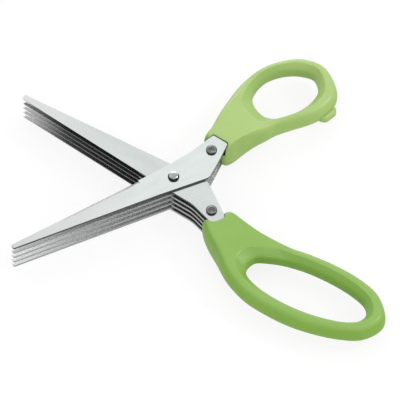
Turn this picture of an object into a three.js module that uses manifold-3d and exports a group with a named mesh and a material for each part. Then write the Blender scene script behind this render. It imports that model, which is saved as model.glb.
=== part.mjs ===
// Herb scissors with five pairs of blades, open on a table. Millimetres, +Z up.
// The origin is where the pivot axis meets the table. Each half is drawn in a frame of its own:
// x runs from the pivot towards the handle, the tip is at minus x, and plus y is the side of the
// cutting edge and of the loop. The thumb half is then turned. The finger half is first turned over.
import * as THREE from 'three';
import { mergeVertices } from 'three/addons/utils/BufferGeometryUtils.js';
import Module from 'manifold-3d';

const wasm = await Module();
wasm.setup();

const DEGREE = Math.PI / 180;

// How far each half is turned at rest. Their sum is what the scissors close through, less the stop.
const THUMB_TURN = 27.35 * DEGREE;
const FINGER_TURN = 33.24 * DEGREE;

// The stack of blades: thumb-side plates over finger-side plates, pair by pair.
const PAIR_COUNT = 5;
const PAIR_PITCH = 3.5;
const PLATE_THICKNESS = 1.2;
const RUNNING_GAP = 0.05;
const SEAT_GAP = 0.05;
const BORE_CLEARANCE = 0.1;

// One blade, from the pivot axis to its tip.
const BLADE_REACH = 80.8;
const TIP_CUT_OFFSET = 1.1;
const TIP_SPINE_OFFSET = 1.5;
const TIP_RADIUS = 0.7;
const HEEL_CUT_OFFSET = 6.3;
const HEEL_CUT_PLACE = 3;
const HEEL_SPINE_OFFSET = 5.6;
const HEEL_SPINE_PLACE = 10;
const HEEL_RADIUS = 100;
const GRIND_WIDTH = 1.5;
const GRIND_EDGE = 0.25;
const GRIND_HEEL = 15;

// The tangs. Their corners are shares of the reach, of the rise and of the corner radius.
const THUMB_TANG_REACH = 29.9;
const THUMB_TANG_RISE = 12;
const FINGER_TANG_REACH = 30.9;
const FINGER_TANG_RISE = 10.8;
const TANG_CORNER = 3.5;
const thumbTangShares = [
  [0.42, 0.7, 5],
  [0.875, 0.98, 0.18],
  [1.0, 0.385, 0.4],
  [0.736, -0.185, 4],
  [0.468, -0.633, 1.1],
];
// The thumb-side plates under the top one are cut back along the spine of the tang.
const thumbLowerTangShares = [
  [0.42, 0.7, 5],
  [0.875, 0.98, 0.18],
  [0.985, 0.58, 0.4],
  [0.6, -0.19, 4],
  [0.42, -0.56, 1.1],
];
const fingerTangShares = [
  [0.47, 0.64, 5],
  [0.89, 1.0, 0.95],
  [1.0, 0.45, 0.6],
  [0.447, -0.64, 1],
];
const thumbRivetShares = [0.722, 0.408];
const fingerRivetShares = [0.767, 0.49];

// Fasteners.
const PIVOT_SHANK_RADIUS = 1.9;
const PIVOT_HEAD_RADIUS = 2.6;
const PIVOT_HEAD_RIM = 0.5;
const PIVOT_HEAD_DOME = 1.3;
const PIVOT_WASHER_RADIUS = 4.2;
const NUT_ACROSS_FLATS = 7;
const NUT_HEIGHT = 1.6;
const NUT_FLOOR = 0.5;
const NUT_SIDES = 6;
const RIVET_SHANK_RADIUS = 1.4;
const RIVET_HEAD_RADIUS = 2.5;
const RIVET_HEAD_HEIGHT = 1.0;
const RIVET_DIMPLE_RADIUS = 1.3;
const RIVET_DIMPLE_DEPTH = 0.45;
const RIVET_TAIL_HEIGHT = 0.9;
const RIVET_EDGE = 0.3;
const SPACER_RADIUS = 2.4;

// Handle sizes shared by both loops.
const HANDLE_COVER = 0.75;
const TANG_SLOT_GAP = 0.3;
const SLOT_HEIGHT_GAP = 0.1;
const LOOP_BAND = 4.8;
const LOOP_HEIGHT = 10.8;
const SIDE_EDGE = 4.2;
const RIM_EDGE = 5.6;
const FRONT_SQUARENESS = 3;
const LOOP_SQUARENESS = 2.2;
const RIM_SQUARENESS = 1.55;
// The rounded edge and the scoop towards the hole are never more than these shares of the width.
const EDGE_LARGEST_SHARE = 0.48;
const RIM_LARGEST_SHARE = 0.38;
const RIVET_RELIEF = 0.5;
// Where the web thins down to the loop, as shares of the web.
const thinningShares = [0.3, 1.15];

// The thumb handle. Outline points are shares of the web's length and of the handle's width.
const THUMB_TANG_SEAT = 7.4;
const THUMB_WEB_LENGTH = 29.6;
const THUMB_HOLE_LENGTH = 30.8;
const THUMB_HOLE_WIDTH = 23.1;
const THUMB_GRIP_OFFSET = 4.8;
const thumbWebShares = [
  [0.9, -0.008], [0.672, -0.002], [0.443, -0.023], [0.246, -0.064],
  [0.16, -0.066], [0.12, -0.042], [0.06, 0.126], [-0.018, 0.237], [-0.008, 0.272],
  [0.113, 0.336], [0.337, 0.498], [0.592, 0.667], [0.849, 0.821], [1.131, 0.933],
];
const thumbHoleShares = [
  [-0.264, 0.95], [0.115, 0.95], [0.5, 0.786], [0.745, 0.584], [1.0, 0.21], [0.97, -0.24],
  [0.818, -0.62], [0.527, -0.88], [0.15, -1.04], [-0.275, -1.06], [-0.7, -0.95],
  [-0.97, -0.6], [-1.033, -0.01], [-0.925, 0.42], [-0.66, 0.735],
];
const thumbBandShares = [1.0, 1.0, 1.17, 1.32, 1.35, 1.6, 1.9, 1.75, 1.3, 0.99, 1.22];

// The stop bump under the far end of the thumb loop, which meets the finger loop when closed.
const STOP_LENGTH = 9.4;
const STOP_DEPTH = 3.2;
const STOP_HEIGHT = 4.4;
const STOP_DROP = 2.4;
const STOP_ROUNDING = 0.6;
const STOP_INSET = 3.6;
const stopOutlineShares = [
  [-0.46, -0.7], [-0.415, 0.5], [-0.15, 1.05], [0.47, 0.59], [0.58, 0.03], [0.5, -1.5],
];

// The finger handle, on the same pattern.
const FINGER_TANG_SEAT = 9.6;
const FINGER_WEB_LENGTH = 29.8;
const FINGER_HOLE_LENGTH = 58.1;
const FINGER_HOLE_WIDTH = 24;
const FINGER_GRIP_OFFSET = -2.1;
const fingerWebShares = [
  [0.973, 0.086], [0.769, 0.097], [0.566, 0.095], [0.398, 0.085],
  [0.316, 0.078], [0.252, 0.093], [0.16, 0.265], [0.052, 0.355], [0.044, 0.398],
  [0.08, 0.438], [0.218, 0.539], [0.485, 0.69], [0.765, 0.862], [0.988, 0.961],
];
const fingerHoleShares = [
  [-0.668, 0.863], [-0.32, 0.948], [0.05, 0.909], [0.436, 0.739], [0.786, 0.452], [0.976, 0.121],
  [1.01, -0.24], [0.872, -0.684], [0.565, -0.873], [0.18, -0.914], [-0.246, -0.827], [-0.555, -0.637],
  [-0.779, -0.42], [-0.965, -0.137], [-1.0, 0.32], [-0.91, 0.64],
];
const fingerBandShares = [1.63, 1.55, 1.51, 1.41, 1.34, 1.49, 1.89, 1.57, 1.53, 1.48, 1.42, 1.56];

// How finely things are faceted.
const ROUND_SEGMENTS = 20;
const CORNER_STEPS = 4;
const STATION_STEPS = 3;
const ACROSS_STEPS = 9;
const DOME_STEPS = 5;
const HOLE_SAMPLES = 180;
const CUT_OVERRUN = 5;
const LEAST_MITRE_COSINE = 0.5;
const LEAST_SIDE = 0.02;

// Levels of the stack above the table.
const stackFoot = NUT_HEIGHT + SEAT_GAP;
const fingerPlateFoot = (pair) => stackFoot + (PAIR_COUNT - 1 - pair) * PAIR_PITCH;
const thumbPlateFoot = (pair) => fingerPlateFoot(pair) + PLATE_THICKNESS + RUNNING_GAP;
const stackTop = thumbPlateFoot(0) + PLATE_THICKNESS;

const materials = {
  blade: new THREE.MeshStandardMaterial({ color: 0xd9dddd, roughness: 0.32, metalness: 1 }),
  thumbHandle: new THREE.MeshStandardMaterial({ color: 0xa9cf76, roughness: 0.42, metalness: 0 }),
  fingerHandle: new THREE.MeshStandardMaterial({ color: 0x95c45e, roughness: 0.42, metalness: 0 }),
  pivot: new THREE.MeshStandardMaterial({ color: 0xe6e8ea, roughness: 0.1, metalness: 1 }),
  nut: new THREE.MeshStandardMaterial({ color: 0xb9bdbf, roughness: 0.3, metalness: 1 }),
  rivet: new THREE.MeshStandardMaterial({ color: 0x5c6066, roughness: 0.35, metalness: 1 }),
  spacer: new THREE.MeshStandardMaterial({ color: 0x8d9296, roughness: 0.4, metalness: 1 }),
};

// The sizes that make one half, by name.
const thumbSide = {
  letter: 'a',
  tangReach: THUMB_TANG_REACH,
  tangRise: THUMB_TANG_RISE,
  tangShares: thumbTangShares,
  lowerTangShares: thumbLowerTangShares,
  rivetShares: thumbRivetShares,
  plateFoot: thumbPlateFoot,
  turnedOver: false,
  handleName: 'thumb_handle',
  hasStop: true,
  tangSeat: THUMB_TANG_SEAT,
  webLength: THUMB_WEB_LENGTH,
  holeLength: THUMB_HOLE_LENGTH,
  holeWidth: THUMB_HOLE_WIDTH,
  gripOffset: THUMB_GRIP_OFFSET,
  webShares: thumbWebShares,
  holeShares: thumbHoleShares,
  bandShares: thumbBandShares,
  handleMaterial: materials.thumbHandle,
};
const fingerSide = {
  letter: 'b',
  tangReach: FINGER_TANG_REACH,
  tangRise: FINGER_TANG_RISE,
  tangShares: fingerTangShares,
  lowerTangShares: fingerTangShares,
  rivetShares: fingerRivetShares,
  plateFoot: fingerPlateFoot,
  turnedOver: true,
  handleName: 'finger_handle',
  hasStop: false,
  tangSeat: FINGER_TANG_SEAT,
  webLength: FINGER_WEB_LENGTH,
  holeLength: FINGER_HOLE_LENGTH,
  holeWidth: FINGER_HOLE_WIDTH,
  gripOffset: FINGER_GRIP_OFFSET,
  webShares: fingerWebShares,
  holeShares: fingerHoleShares,
  bandShares: fingerBandShares,
  handleMaterial: materials.fingerHandle,
};

// Solids are joined and cut as manifolds, and go back to plain geometries at the end.
function toSolid(geometry) {
  const bare = geometry.clone();
  bare.deleteAttribute('normal');
  bare.deleteAttribute('uv');
  const merged = mergeVertices(bare);
  return new wasm.Manifold(new wasm.Mesh({
    numProp: 3,
    vertProperties: new Float32Array(merged.attributes.position.array),
    triVerts: new Uint32Array(merged.index.array),
  }));
}

function toGeometry(solid) {
  const mesh = solid.getMesh();
  const geometry = new THREE.BufferGeometry();
  geometry.setAttribute('position', new THREE.BufferAttribute(new Float32Array(mesh.vertProperties), 3));
  geometry.setIndex(new THREE.BufferAttribute(new Uint32Array(mesh.triVerts), 1));
  geometry.computeVertexNormals();
  return geometry;
}

// A closed outline from corners of x, y and radius, each rounded by an arc-like curve. Where two
// curves meet, their common point is kept once.
function roundedOutline(corners) {
  const points = [];
  corners.forEach(([x, y, radius], i) => {
    const corner = new THREE.Vector2(x, y);
    const [beforeX, beforeY] = corners[(i + corners.length - 1) % corners.length];
    const [afterX, afterY] = corners[(i + 1) % corners.length];
    const before = new THREE.Vector2(beforeX, beforeY).sub(corner);
    const after = new THREE.Vector2(afterX, afterY).sub(corner);
    const halfAngle = Math.acos(before.dot(after) / (before.length() * after.length())) / 2;
    const room = Math.min(before.length(), after.length()) / 2;
    const setback = Math.min(radius / Math.tan(halfAngle), room);
    const start = corner.clone().add(before.setLength(setback));
    const end = corner.clone().add(after.setLength(setback));
    const curve = new THREE.QuadraticBezierCurve(start, corner, end);
    points.push(...curve.getPoints(CORNER_STEPS));
  });
  return points.filter((point, i) => point.distanceTo(points[(i + 1) % points.length]) > LEAST_SIDE);
}

// Moves every side of an outline outwards by one distance.
function offsetOutline(points, distance) {
  const sign = THREE.ShapeUtils.isClockWise(points) ? -1 : 1;
  return points.map((point, i) => {
    const before = points[(i + points.length - 1) % points.length];
    const after = points[(i + 1) % points.length];
    const sideIn = point.clone().sub(before).normalize();
    const sideOut = after.clone().sub(point).normalize();
    const normalIn = new THREE.Vector2(sideIn.y, -sideIn.x).multiplyScalar(sign);
    const normalOut = new THREE.Vector2(sideOut.y, -sideOut.x).multiplyScalar(sign);
    const bisector = normalIn.add(normalOut).normalize();
    const stretch = 1 / Math.max(bisector.dot(normalOut), LEAST_MITRE_COSINE);
    return point.clone().add(bisector.multiplyScalar(distance * stretch));
  });
}

function extrudeOutline(points, foot, height) {
  const geometry = new THREE.ExtrudeGeometry(new THREE.Shape(points), {
    depth: height,
    bevelEnabled: false,
    steps: 1,
  });
  return geometry.translate(0, 0, foot);
}

function cylinder(radius, foot, height, x = 0, y = 0) {
  const geometry = new THREE.CylinderGeometry(radius, radius, height, ROUND_SEGMENTS);
  return geometry.rotateX(Math.PI / 2).translate(x, y, foot + height / 2);
}

// A turned piece. The profile holds radius and height, and starts and ends on the axis.
function turned(profile) {
  const points = profile.map(([radius, height]) => new THREE.Vector2(radius, height));
  return new THREE.LatheGeometry(points, ROUND_SEGMENTS).rotateX(Math.PI / 2);
}

function ring(outerRadius, boreRadius, foot, height) {
  const bore = toSolid(cylinder(boreRadius, foot - CUT_OVERRUN, height + 2 * CUT_OVERRUN));
  return toSolid(cylinder(outerRadius, foot, height)).subtract(bore);
}

// The lower face of a plate as its half is drawn. The finger half is drawn turned over.
function drawnFoot(side, pair) {
  return side.turnedOver ? -side.plateFoot(pair) - PLATE_THICKNESS : side.plateFoot(pair);
}

function rivetPlace(side) {
  return [side.rivetShares[0] * side.tangReach, side.rivetShares[1] * side.tangRise];
}

// A plate is blade, heel and tang in a single pressing. Pair 0 is the top one.
function plateOutline(side, pair) {
  const shares = pair === 0 ? side.tangShares : side.lowerTangShares;
  const tang = shares.map(([along, across, rounding]) => [
    along * side.tangReach,
    across * side.tangRise,
    rounding * TANG_CORNER,
  ]);
  return roundedOutline([
    [-BLADE_REACH, TIP_CUT_OFFSET, TIP_RADIUS],
    [-HEEL_CUT_PLACE, HEEL_CUT_OFFSET, HEEL_RADIUS],
    ...tang,
    [-HEEL_SPINE_PLACE, -HEEL_SPINE_OFFSET, HEEL_RADIUS],
    [-BLADE_REACH, -TIP_SPINE_OFFSET, TIP_RADIUS],
  ]);
}

// The wedge that grinding takes off the upper face, along the cutting edge.
function grindWedge(foot) {
  const rise = (HEEL_CUT_OFFSET - TIP_CUT_OFFSET) / (BLADE_REACH - HEEL_CUT_PLACE);
  const start = new THREE.Vector2(-BLADE_REACH - CUT_OVERRUN, TIP_CUT_OFFSET - rise * CUT_OVERRUN);
  const end = new THREE.Vector2(-GRIND_HEEL, TIP_CUT_OFFSET + rise * (BLADE_REACH - GRIND_HEEL));
  const drop = (PLATE_THICKNESS - GRIND_EDGE) / GRIND_WIDTH;
  const reach = GRIND_WIDTH + CUT_OVERRUN;
  const section = new THREE.Shape([
    new THREE.Vector2(0, 0),
    new THREE.Vector2(reach, -reach * drop),
    new THREE.Vector2(reach, CUT_OVERRUN),
    new THREE.Vector2(0, CUT_OVERRUN),
  ]);
  const wedge = new THREE.ExtrudeGeometry(section, {
    depth: end.distanceTo(start),
    bevelEnabled: false,
    steps: 1,
  });
  // The section's x points outwards across the edge, its y up, and the wedge runs along the edge.
  const along = end.clone().sub(start).normalize();
  const outward = new THREE.Vector2(-along.y, along.x);
  const place = new THREE.Matrix4().makeBasis(
    new THREE.Vector3(outward.x, outward.y, 0),
    new THREE.Vector3(0, 0, 1),
    new THREE.Vector3(along.x, along.y, 0),
  );
  const inner = start.clone().addScaledVector(outward, -GRIND_WIDTH);
  place.setPosition(inner.x, inner.y, foot + PLATE_THICKNESS);
  return wedge.applyMatrix4(place);
}

function plateSolid(side, pair) {
  const foot = drawnFoot(side, pair);
  const boreFoot = foot - CUT_OVERRUN;
  const boreHeight = PLATE_THICKNESS + 2 * CUT_OVERRUN;
  const plate = toSolid(extrudeOutline(plateOutline(side, pair), foot, PLATE_THICKNESS));
  const pivotBore = toSolid(cylinder(PIVOT_SHANK_RADIUS + BORE_CLEARANCE, boreFoot, boreHeight));
  const rivetRadius = RIVET_SHANK_RADIUS + BORE_CLEARANCE;
  const rivetBore = toSolid(cylinder(rivetRadius, boreFoot, boreHeight, ...rivetPlace(side)));
  return plate.subtract(pivotBore).subtract(rivetBore).subtract(toSolid(grindWedge(foot)));
}

// The grip hole as a smooth closed curve about its own centre.
function holeCurve(side) {
  const centre = holeCentre(side);
  const points = side.holeShares.map(([along, across]) => new THREE.Vector3(
    centre.x + along * side.holeLength / 2,
    centre.y + across * side.holeWidth / 2,
    0,
  ));
  return new THREE.CatmullRomCurve3(points, true, 'centripetal');
}

function handleFront(side) {
  return side.tangReach - side.tangSeat;
}

function holeCentre(side) {
  return new THREE.Vector2(
    handleFront(side) + side.webLength + side.holeLength / 2,
    side.gripOffset + LOOP_BAND + side.holeWidth / 2,
  );
}

// The outer outline: round the hole at the width of the band, then along the web to its front.
function outerCurve(side) {
  const hole = holeCurve(side);
  const band = side.bandShares.map((share, i) => {
    const place = i / side.holeShares.length;
    const tangent = hole.getTangent(place);
    const outward = new THREE.Vector3(-tangent.y, tangent.x, 0);
    return hole.getPoint(place).addScaledVector(outward, share * LOOP_BAND);
  });
  const width = side.holeWidth + 2 * LOOP_BAND;
  const web = side.webShares.map(([along, across]) => new THREE.Vector3(
    handleFront(side) + along * side.webLength,
    side.gripOffset + across * width,
    0,
  ));
  return new THREE.CatmullRomCurve3([...band, ...web], true, 'centripetal');
}

// The point of the hole's rim that lies the same way from the hole's centre as a point outside it.
function rimPoint(samples, centre, point) {
  const turn = Math.PI * 2;
  const angle = Math.atan2(point.y - centre.y, point.x - centre.x);
  let best = samples[0];
  let found = false;
  samples.forEach((sample, i) => {
    const next = samples[(i + 1) % samples.length];
    const from = Math.atan2(sample.y - centre.y, sample.x - centre.x);
    const to = Math.atan2(next.y - centre.y, next.x - centre.x);
    const span = THREE.MathUtils.euclideanModulo(from - to, turn);
    const part = THREE.MathUtils.euclideanModulo(from - angle, turn);
    if (!found && part <= span) {
      best = sample.clone().lerp(next, part / span);
      found = true;
    }
  });
  return best;
}

// A rounded edge: nought at the edge itself, one where the face begins.
function edgeRise(distance, width, squareness) {
  const inside = 1 - Math.min(distance / width, 1);
  return (1 - inside ** squareness) ** (1 / squareness);
}

// The moulded loop and web, as one skin lofted round the hole through sections from edge to rim.
function handleSkin(side) {
  const { lerp, smoothstep } = THREE.MathUtils;
  const front = handleFront(side);
  const centre = holeCentre(side);
  const lowest = drawnFoot(side, side.turnedOver ? 0 : PAIR_COUNT - 1);
  const highest = drawnFoot(side, side.turnedOver ? PAIR_COUNT - 1 : 0) + PLATE_THICKNESS;
  const middle = (lowest + highest) / 2;
  const webHalf = (highest - lowest) / 2 + HANDLE_COVER;
  const thinning = thinningShares.map((share) => front + share * side.webLength);
  const halfHeight = (x) => lerp(webHalf, LOOP_HEIGHT / 2, smoothstep(x, ...thinning));
  const squareness = (x) => lerp(FRONT_SQUARENESS, LOOP_SQUARENESS, smoothstep(x, ...thinning));
  const outer = outerCurve(side);
  const stations = outer.points.length * STATION_STEPS;
  const rim = holeCurve(side).getPoints(HOLE_SAMPLES).slice(0, -1);
  const positions = [];
  for (let i = 0; i < stations; i += 1) {
    const edge = outer.getPoint(i / stations);
    const inner = rimPoint(rim, centre, edge);
    const width = edge.distanceTo(inner);
    const edgeWidth = Math.min(SIDE_EDGE, width * EDGE_LARGEST_SHARE);
    const rimWidth = Math.min(RIM_EDGE, width * RIM_LARGEST_SHARE);
    for (let k = 0; k < 2 * ACROSS_STEPS; k += 1) {
      const turn = Math.PI * k / ACROSS_STEPS;
      const share = (1 - Math.cos(turn)) / 2;
      const point = edge.clone().lerp(inner, share);
      const rise = edgeRise(share * width, edgeWidth, squareness(edge.x))
        * edgeRise((1 - share) * width, rimWidth, RIM_SQUARENESS);
      const upDown = k < ACROSS_STEPS ? 1 : -1;
      const height = k % ACROSS_STEPS === 0 ? 0 : upDown * rise * halfHeight(point.x);
      positions.push(point.x, point.y, middle + height);
    }
  }
  return gridSkin(positions, stations, 2 * ACROSS_STEPS);
}

// A closed skin over a grid of points that joins up both ways.
function gridSkin(positions, rows, columns) {
  const index = [];
  for (let row = 0; row < rows; row += 1) {
    const next = (row + 1) % rows;
    for (let column = 0; column < columns; column += 1) {
      const beside = (column + 1) % columns;
      const a = row * columns + column;
      const b = next * columns + column;
      const c = next * columns + beside;
      const d = row * columns + beside;
      index.push(a, d, c, a, c, b);
    }
  }
  const geometry = new THREE.BufferGeometry();
  geometry.setAttribute('position', new THREE.Float32BufferAttribute(positions, 3));
  geometry.setIndex(index);
  return geometry;
}

// Each tang sits in a slot of its own outline. The outermost two lie in open recesses.
function cutTangSlots(side, handle) {
  let cut = handle;
  for (let pair = 0; pair < PAIR_COUNT; pair += 1) {
    const outline = offsetOutline(plateOutline(side, pair), TANG_SLOT_GAP);
    const topmost = pair === (side.turnedOver ? PAIR_COUNT - 1 : 0);
    const lowest = pair === (side.turnedOver ? 0 : PAIR_COUNT - 1);
    const below = lowest ? CUT_OVERRUN : SLOT_HEIGHT_GAP;
    const above = topmost ? CUT_OVERRUN : SLOT_HEIGHT_GAP;
    const foot = drawnFoot(side, pair) - below;
    const slot = extrudeOutline(outline, foot, below + PLATE_THICKNESS + above);
    cut = cut.subtract(toSolid(slot));
  }
  const reliefRadius = RIVET_HEAD_RADIUS + RIVET_RELIEF;
  const reliefFoot = -stackTop - CUT_OVERRUN;
  const relief = cylinder(reliefRadius, reliefFoot, -2 * reliefFoot, ...rivetPlace(side));
  return cut.subtract(toSolid(relief));
}

// The bump that stops the loops when the blades have closed. It lies below the middle of the loop.
function stopBump(side) {
  const place = handleFront(side) + side.webLength + side.holeLength - STOP_INSET;
  const outline = stopOutlineShares.map(([along, deep]) => new THREE.Vector2(
    place + along * STOP_LENGTH,
    side.gripOffset - deep * STOP_DEPTH,
  ));
  const middle = (side.plateFoot(0) + side.plateFoot(PAIR_COUNT - 1) + PLATE_THICKNESS) / 2;
  const geometry = new THREE.ExtrudeGeometry(new THREE.Shape(outline), {
    depth: STOP_HEIGHT - 2 * STOP_ROUNDING,
    bevelThickness: STOP_ROUNDING,
    bevelSize: STOP_ROUNDING,
    bevelOffset: -STOP_ROUNDING,
    bevelSegments: 2,
    steps: 1,
  });
  return geometry.translate(0, 0, middle - STOP_DROP - STOP_HEIGHT / 2 + STOP_ROUNDING);
}

function handleSolid(side) {
  const skin = toSolid(handleSkin(side));
  const whole = side.hasStop ? skin.add(toSolid(stopBump(side))) : skin;
  return cutTangSlots(side, whole);
}

function pivotScrewProfile() {
  const foot = NUT_FLOOR + SEAT_GAP;
  const seat = stackTop + SEAT_GAP;
  const profile = [
    [0, foot],
    [PIVOT_SHANK_RADIUS, foot],
    [PIVOT_SHANK_RADIUS, seat],
    [PIVOT_HEAD_RADIUS, seat],
  ];
  for (let step = 0; step <= DOME_STEPS; step += 1) {
    const turn = Math.PI / 2 * step / DOME_STEPS;
    const radius = step === DOME_STEPS ? 0 : PIVOT_HEAD_RADIUS * Math.cos(turn);
    profile.push([radius, seat + PIVOT_HEAD_RIM + PIVOT_HEAD_DOME * Math.sin(turn)]);
  }
  return profile;
}

function pivotNut() {
  const radius = NUT_ACROSS_FLATS / 2 / Math.cos(Math.PI / NUT_SIDES);
  const blank = new THREE.CylinderGeometry(radius, radius, NUT_HEIGHT, NUT_SIDES);
  blank.rotateX(Math.PI / 2).translate(0, 0, NUT_HEIGHT / 2);
  const bore = cylinder(PIVOT_SHANK_RADIUS + BORE_CLEARANCE, NUT_FLOOR, NUT_HEIGHT);
  return toSolid(blank).subtract(toSolid(bore));
}

// A rivet through all the tangs of a half, with a dimpled head on top and a flat tail below.
function rivetProfile(side) {
  const tailTop = side.plateFoot(PAIR_COUNT - 1) - SEAT_GAP;
  const tailFoot = tailTop - RIVET_TAIL_HEIGHT;
  const seat = side.plateFoot(0) + PLATE_THICKNESS + SEAT_GAP;
  const top = seat + RIVET_HEAD_HEIGHT;
  return [
    [0, tailFoot],
    [RIVET_HEAD_RADIUS - RIVET_EDGE, tailFoot],
    [RIVET_HEAD_RADIUS, tailFoot + RIVET_EDGE],
    [RIVET_HEAD_RADIUS, tailTop],
    [RIVET_SHANK_RADIUS, tailTop],
    [RIVET_SHANK_RADIUS, seat],
    [RIVET_HEAD_RADIUS, seat],
    [RIVET_HEAD_RADIUS, top - RIVET_EDGE],
    [RIVET_HEAD_RADIUS - RIVET_EDGE, top],
    [RIVET_DIMPLE_RADIUS, top],
    [RIVET_DIMPLE_RADIUS - RIVET_DIMPLE_DEPTH, top - RIVET_DIMPLE_DEPTH],
    [0, top - RIVET_DIMPLE_DEPTH],
  ];
}

function named(name, geometry, material) {
  const mesh = new THREE.Mesh(geometry, material.clone());
  mesh.name = name;
  return mesh;
}

// One half in its own frame. Plates and handle of the finger half are turned over there, and its
// rivet and spacers, which stand at their levels in the stack, are only moved across.
function addHalf(side, turn) {
  const half = new THREE.Group();
  half.rotation.z = turn;
  const over = side.turnedOver ? Math.PI : 0;
  for (let pair = 0; pair < PAIR_COUNT; pair += 1) {
    const solid = plateSolid(side, pair);
    const plate = named(`blade_${side.letter}${pair + 1}`, toGeometry(solid), materials.blade);
    plate.rotation.x = over;
    half.add(plate);
  }
  const handle = named(side.handleName, toGeometry(handleSolid(side)), side.handleMaterial);
  handle.rotation.x = over;
  half.add(handle);
  const [along, across] = rivetPlace(side);
  const acrossWay = side.turnedOver ? -across : across;
  const rivet = named(`tang_rivet_${side.letter}`, turned(rivetProfile(side)), materials.rivet);
  rivet.position.set(along, acrossWay, 0);
  half.add(rivet);
  for (let pair = 0; pair < PAIR_COUNT - 1; pair += 1) {
    const foot = side.plateFoot(pair + 1) + PLATE_THICKNESS + SEAT_GAP;
    const height = side.plateFoot(pair) - SEAT_GAP - foot;
    const spacer = ring(SPACER_RADIUS, RIVET_SHANK_RADIUS + BORE_CLEARANCE, foot, height);
    const name = `tang_spacer_${side.letter}${pair + 1}`;
    const mesh = named(name, toGeometry(spacer), materials.spacer);
    mesh.position.set(along, acrossWay, 0);
    half.add(mesh);
  }
  return half;
}

// The pivot screw, its nut, and a washer between each pair of blades and the next.
function addPivot() {
  const pivot = new THREE.Group();
  pivot.add(named('pivot_screw', turned(pivotScrewProfile()), materials.pivot));
  pivot.add(named('pivot_nut', toGeometry(pivotNut()), materials.nut));
  for (let pair = 0; pair < PAIR_COUNT - 1; pair += 1) {
    const foot = thumbPlateFoot(pair + 1) + PLATE_THICKNESS + SEAT_GAP;
    const height = fingerPlateFoot(pair) - SEAT_GAP - foot;
    const washer = ring(PIVOT_WASHER_RADIUS, PIVOT_SHANK_RADIUS + BORE_CLEARANCE, foot, height);
    pivot.add(named(`pivot_washer_${pair + 1}`, toGeometry(washer), materials.spacer));
  }
  return pivot;
}

const scissors = new THREE.Group();
scissors.add(addHalf(thumbSide, THUMB_TURN));
scissors.add(addHalf(fingerSide, -FINGER_TURN));
scissors.add(addPivot());

export default scissors;
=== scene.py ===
# Herb scissors with five pairs of blades, lying open on a pale table. Metres, +Z up.
# Each half is drawn as in the CAD: x runs from the pivot towards the handle, and plus y is the side of
# the cutting edge and of the loop. The finger half is drawn the same way and then laid out mirrored.
import math

import bmesh
import bpy
import numpy as np
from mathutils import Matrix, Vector
from mathutils.geometry import interpolate_bezier


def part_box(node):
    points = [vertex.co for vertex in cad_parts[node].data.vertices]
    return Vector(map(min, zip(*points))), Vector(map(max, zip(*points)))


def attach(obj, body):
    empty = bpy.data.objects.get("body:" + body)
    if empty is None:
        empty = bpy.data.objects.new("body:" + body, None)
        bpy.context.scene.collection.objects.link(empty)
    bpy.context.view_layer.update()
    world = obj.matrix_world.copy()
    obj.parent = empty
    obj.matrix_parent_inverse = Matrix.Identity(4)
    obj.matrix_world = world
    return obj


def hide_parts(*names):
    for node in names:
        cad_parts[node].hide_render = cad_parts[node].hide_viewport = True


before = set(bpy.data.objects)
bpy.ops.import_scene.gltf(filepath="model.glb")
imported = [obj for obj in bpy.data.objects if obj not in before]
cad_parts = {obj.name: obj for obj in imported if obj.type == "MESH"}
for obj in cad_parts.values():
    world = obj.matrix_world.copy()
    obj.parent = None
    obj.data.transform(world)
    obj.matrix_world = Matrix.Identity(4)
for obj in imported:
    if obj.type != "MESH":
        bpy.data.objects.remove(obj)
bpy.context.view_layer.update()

MM = 0.001

# ---------------------------------------------------------------- driving sizes, the large ones as in the CAD
THUMB_TURN = math.radians(27.35)
FINGER_TURN = math.radians(-33.24)
PAIR_COUNT = 5

BLADE_REACH = 80.78 * MM
TIP_CUT_OFFSET = 1.1 * MM
TIP_SPINE_OFFSET = 1.5 * MM
TIP_RADIUS = 0.7 * MM
HEEL_CUT_OFFSET = 6.3 * MM
HEEL_CUT_PLACE = 3 * MM
HEEL_SPINE_OFFSET = 5.6 * MM
HEEL_SPINE_PLACE = 10 * MM
HEEL_RADIUS = 100 * MM
GRIND_WIDTH = 1.5 * MM
GRIND_EDGE = 0.25 * MM
GRIND_HEEL = 15 * MM
PLATE_BREAK = 0.12 * MM
PLATE_BREAK_STEPS = 2

PIVOT_SHANK_RADIUS = 1.9 * MM
PIVOT_HEAD_RIM = 0.5 * MM
RIVET_SHANK_RADIUS = 1.4 * MM
RIVET_HEAD_HEIGHT = 1.0 * MM
RIVET_TAIL_HEIGHT = 0.9 * MM
RIVET_EDGE = 0.5 * MM
RIVET_RING_RADIUS = 1.65 * MM
RIVET_RING_DEPTH = 0.3 * MM
RIVET_CUP_RADIUS = 1.2 * MM
RIVET_CUP_DEPTH = 0.5 * MM
BORE_CLEARANCE = 0.1 * MM
WASHER_BREAK = 0.15 * MM
NUT_FLOOR = 0.5 * MM
NUT_SIDES = 6
NUT_BREAK = 0.25 * MM
NUT_BREAK_STEPS = 3

TANG_CORNER = 3.5 * MM
TANG_SLOT_GAP = 0.3 * MM
SLOT_HEIGHT_GAP = 0.1 * MM
RIVET_RELIEF = 0.5 * MM
NICK_DEPTH = 6 * MM
NICK_MARGIN = 0.02 * MM
NICK_FOOT_MARGIN = 0.06 * MM
LOOP_BAND = 4.8 * MM
LOOP_HEIGHT = 10.8 * MM
SIDE_EDGE = 4.2 * MM
RIM_EDGE = 5.6 * MM
FRONT_SQUARENESS = 2.6
LOOP_SQUARENESS = 2.2
EDGE_LARGEST_SHARE = 0.48
RIM_LARGEST_SHARE = 0.38
THINNING_SHARES = (0.3, 1.15)

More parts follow.
